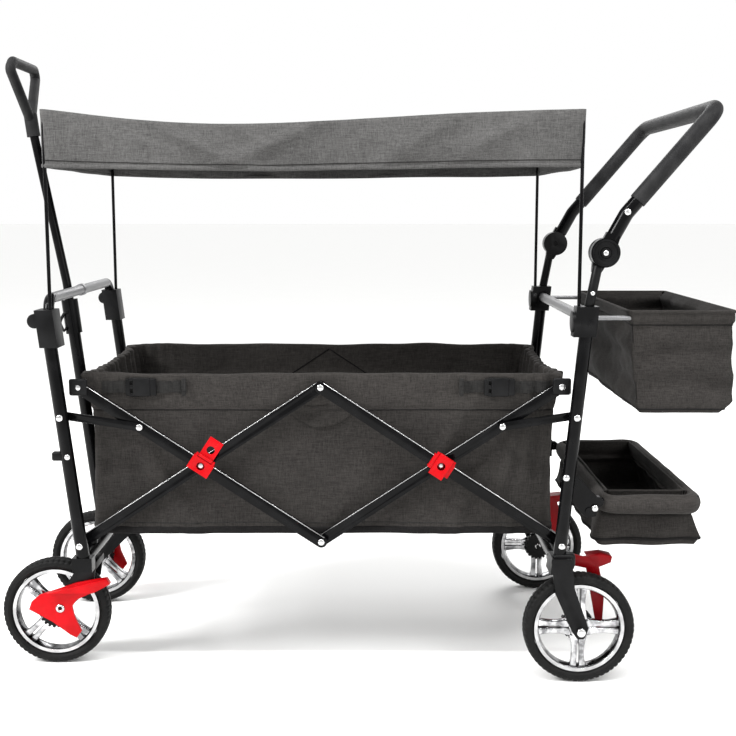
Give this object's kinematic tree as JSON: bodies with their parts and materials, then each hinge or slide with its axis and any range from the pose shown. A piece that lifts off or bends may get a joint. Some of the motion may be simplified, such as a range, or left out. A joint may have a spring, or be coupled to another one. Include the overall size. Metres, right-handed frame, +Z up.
{
  "type": "folding pull wagon",
  "caption": "Folding children's pull wagon with a cloth basket, sun canopy, push bar, pull pole, two rear bags and four braked wheels.",
  "frame": {"origin": "middle of the bounding box's footprint, on the floor under the wheels", "axes": "+X towards the push bar (rear), -X towards the pull pole (front), +Y to the wagon's right when it faces the front, +Z up"},
  "size_m": [1.27, 0.56, 1.071],
  "materials": {
    "black_metal": "satin powder coat",
    "steel_grey": "brushed",
    "black_plastic": "fine texture",
    "red_plastic": "satin gloss",
    "chrome": "bright",
    "tyre": "matt",
    "basket_cloth": "woven",
    "canopy_cloth": "woven melange",
    "foam": "matt foam",
    "board": "matt",
    "silver_button": "satin"
  },
  "bodies": {
    "front_frame": {"front_post_left": "black_metal", "front_post_right": "black_metal", "front_clamps": "black_plastic", "front_cross_tube": "steel_grey", "front_beam": "black_metal", "front_hoop": "black_metal", "canopy_cover": "canopy_cloth", "basket": "basket_cloth", "basket_floor": "board", "basket_straps": "basket_cloth"},
    "front_inner_bars": {"front_inner_bar_left": "black_metal", "front_inner_bar_right": "black_metal"},
    "rear_outer_bars": {"rear_outer_bar_left": "black_metal", "rear_outer_bar_right": "black_metal", "rear_latch_bases": "red_plastic"},
    "front_outer_bars": {"front_outer_bar_left": "black_metal", "front_outer_bar_right": "black_metal", "front_latch_bases": "red_plastic"},
    "rear_inner_bars": {"rear_inner_bar_left": "black_metal", "rear_inner_bar_right": "black_metal"},
    "front_links": {"front_links": "black_metal"},
    "rear_links": {"rear_links": "black_metal"},
    "rear_frame": {"rear_post_left": "black_metal", "rear_post_right": "black_metal", "rear_clamps": "black_plastic", "rear_cross_tube": "steel_grey", "rear_arm_left": "black_plastic", "rear_arm_right": "black_plastic", "rear_beam": "black_metal", "push_hubs": "black_plastic", "rear_hoop": "black_metal", "upper_bag": "basket_cloth", "upper_bag_frame": "steel_grey", "lower_bag": "basket_cloth", "lower_bag_frame": "black_metal"},
    "push_bar": {"push_bar": "black_metal", "push_grip": "foam"},
    "pull_pole": {"pull_sleeve": "black_metal"},
    "pull_grip": {"pull_rod": "black_metal", "pull_handle": "foam"},
    "caster_left": {"caster_fork_left": "black_plastic"},
    "front_wheel_left": {"front_rim_left": "chrome", "front_tyre_left": "tyre"},
    "rear_wheel_left": {"rear_rim_left": "chrome", "rear_tyre_left": "tyre"},
    "front_brake_lever_left": {"front_brake_left": "red_plastic"},
    "rear_brake_lever_left": {"rear_brake_left": "red_plastic"},
    "front_latch_left": {"front_latch_flap_left": "red_plastic"},
    "rear_latch_left": {"rear_latch_flap_left": "red_plastic"},
    "hub_button_left": {"hub_button_left": "silver_button"},
    "caster_right": {"caster_fork_right": "black_plastic"},
    "front_wheel_right": {"front_rim_right": "chrome", "front_tyre_right": "tyre"},
    "rear_wheel_right": {"rear_rim_right": "chrome", "rear_tyre_right": "tyre"},
    "front_brake_lever_right": {"front_brake_right": "red_plastic"},
    "rear_brake_lever_right": {"rear_brake_right": "red_plastic"},
    "front_latch_right": {"front_latch_flap_right": "red_plastic"},
    "rear_latch_right": {"rear_latch_flap_right": "red_plastic"},
    "hub_button_right": {"hub_button_right": "silver_button"}
  },
  "joints": [
    {"name": "fold", "type": "hinge", "parent": "front_frame", "child": "front_inner_bars", "pos_m": [-0.471, 0, 0.241], "axis": [0, -1, 0], "range_deg": [0, 41.5], "deforming": ["basket", "basket_floor", "basket_straps", "canopy_cover"]},
    {"name": "fold_rear_outer", "type": "hinge", "parent": "front_inner_bars", "child": "rear_outer_bars", "pos_m": [-0.0645, 0, 0.508], "axis": [0, -1, 0], "range_deg": [-83, 0]},
    {"name": "fold_rear_frame", "type": "hinge", "parent": "rear_outer_bars", "child": "rear_frame", "pos_m": [0.342, 0, 0.241], "axis": [0, -1, 0], "range_deg": [0, 41.5]},
    {"name": "fold_front_outer", "type": "hinge", "parent": "front_inner_bars", "child": "front_outer_bars", "pos_m": [-0.26775, 0, 0.3745], "axis": [0, -1, 0], "range_deg": [-83, 0]},
    {"name": "fold_rear_inner", "type": "hinge", "parent": "rear_outer_bars", "child": "rear_inner_bars", "pos_m": [0.13875, 0, 0.3745], "axis": [0, -1, 0], "range_deg": [0, 83]},
    {"name": "front_link_swing", "type": "hinge", "parent": "front_frame", "child": "front_links", "pos_m": [-0.49645, 0, 0.461], "axis": [0, -1, 0], "range_deg": [0, 75.53]},
    {"name": "rear_link_swing", "type": "hinge", "parent": "rear_frame", "child": "rear_links", "pos_m": [0.36241, 0, 0.461], "axis": [0, -1, 0], "range_deg": [-75.53, 0]},
    {"name": "caster_swivel_left", "type": "hinge", "parent": "front_frame", "child": "caster_left", "pos_m": [-0.48, -0.16, 0], "axis": [0, 0, 1], "continuous": true},
    {"name": "front_wheel_spin_left", "type": "hinge", "parent": "caster_left", "child": "front_wheel_left", "pos_m": [-0.54, 0, 0.095], "axis": [0, 1, 0], "continuous": true},
    {"name": "rear_wheel_spin_left", "type": "hinge", "parent": "rear_frame", "child": "rear_wheel_left", "pos_m": [0.376, 0, 0.095], "axis": [0, 1, 0], "continuous": true},
    {"name": "front_brake_press_left", "type": "hinge", "parent": "caster_left", "child": "front_brake_lever_left", "pos_m": [-0.526, 0, 0.109], "axis": [0, 1, 0], "range_deg": [0, 6]},
    {"name": "rear_brake_press_left", "type": "hinge", "parent": "rear_frame", "child": "rear_brake_lever_left", "pos_m": [0.352, 0, 0.209], "axis": [0, 1, 0], "range_deg": [0, 3]},
    {"name": "front_latch_turn_left", "type": "hinge", "parent": "front_outer_bars", "child": "front_latch_left", "pos_m": [-0.25897, -0.2415, 0.38787], "axis": [0.8358, 0, -0.549], "range_deg": [0, 180]},
    {"name": "rear_latch_turn_left", "type": "hinge", "parent": "rear_outer_bars", "child": "rear_latch_left", "pos_m": [0.14753, -0.2415, 0.38787], "axis": [-0.8358, 0, 0.549], "range_deg": [0, 180]},
    {"name": "hub_button_press_left", "type": "slide", "parent": "push_bar", "child": "hub_button_left", "axis": [0, 1, 0], "range_m": [0, 0.0015], "stiffness_N_per_m": 400, "springref_m": -0.002},
    {"name": "caster_swivel_right", "type": "hinge", "parent": "front_frame", "child": "caster_right", "pos_m": [-0.48, 0.16, 0], "axis": [0, 0, 1], "continuous": true},
    {"name": "front_wheel_spin_right", "type": "hinge", "parent": "caster_right", "child": "front_wheel_right", "pos_m": [-0.54, 0, 0.095], "axis": [0, 1, 0], "continuous": true},
    {"name": "rear_wheel_spin_right", "type": "hinge", "parent": "rear_frame", "child": "rear_wheel_right", "pos_m": [0.376, 0, 0.095], "axis": [0, 1, 0], "continuous": true},
    {"name": "front_brake_press_right", "type": "hinge", "parent": "caster_right", "child": "front_brake_lever_right", "pos_m": [-0.526, 0, 0.109], "axis": [0, 1, 0], "range_deg": [0, 6]},
    {"name": "rear_brake_press_right", "type": "hinge", "parent": "rear_frame", "child": "rear_brake_lever_right", "pos_m": [0.352, 0, 0.209], "axis": [0, 1, 0], "range_deg": [0, 3]},
    {"name": "front_latch_turn_right", "type": "hinge", "parent": "front_outer_bars", "child": "front_latch_right", "pos_m": [-0.25897, 0.2415, 0.38787], "axis": [-0.8358, 0, 0.549], "range_deg": [0, 180]},
    {"name": "rear_latch_turn_right", "type": "hinge", "parent": "rear_outer_bars", "child": "rear_latch_right", "pos_m": [0.14753, 0.2415, 0.38787], "axis": [0.8358, 0, -0.549], "range_deg": [0, 180]},
    {"name": "hub_button_press_right", "type": "slide", "parent": "push_bar", "child": "hub_button_right", "axis": [0, -1, 0], "range_m": [0, 0.0015], "stiffness_N_per_m": 400, "springref_m": -0.002},
    {"name": "push_bar_tilt", "type": "hinge", "parent": "rear_frame", "child": "push_bar", "pos_m": [0.402, 0, 0.734], "axis": [0, 1, 0], "range_deg": [-15, 65]},
    {"name": "pull_pole_swing", "type": "hinge", "parent": "front_frame", "child": "pull_pole", "pos_m": [-0.494, 0, 0.226], "axis": [0, -1, 0], "range_deg": [0, 80]},
    {"name": "pull_pole_extend", "type": "slide", "parent": "pull_pole", "child": "pull_grip", "axis": [-0.1149, 0, 0.9934], "range_m": [0, 0.22]}
  ],
  "couplings": [
    {"joint": "fold_rear_outer", "follows": "fold", "ratio": -2},
    {"joint": "fold_rear_frame", "follows": "fold", "ratio": 1},
    {"joint": "fold_front_outer", "follows": "fold", "ratio": -2},
    {"joint": "fold_rear_inner", "follows": "fold", "ratio": 2},
    {"joint": "front_link_swing", "follows": "fold", "ratio": 1.82},
    {"joint": "rear_link_swing", "follows": "fold", "ratio": -1.82}
  ]
}
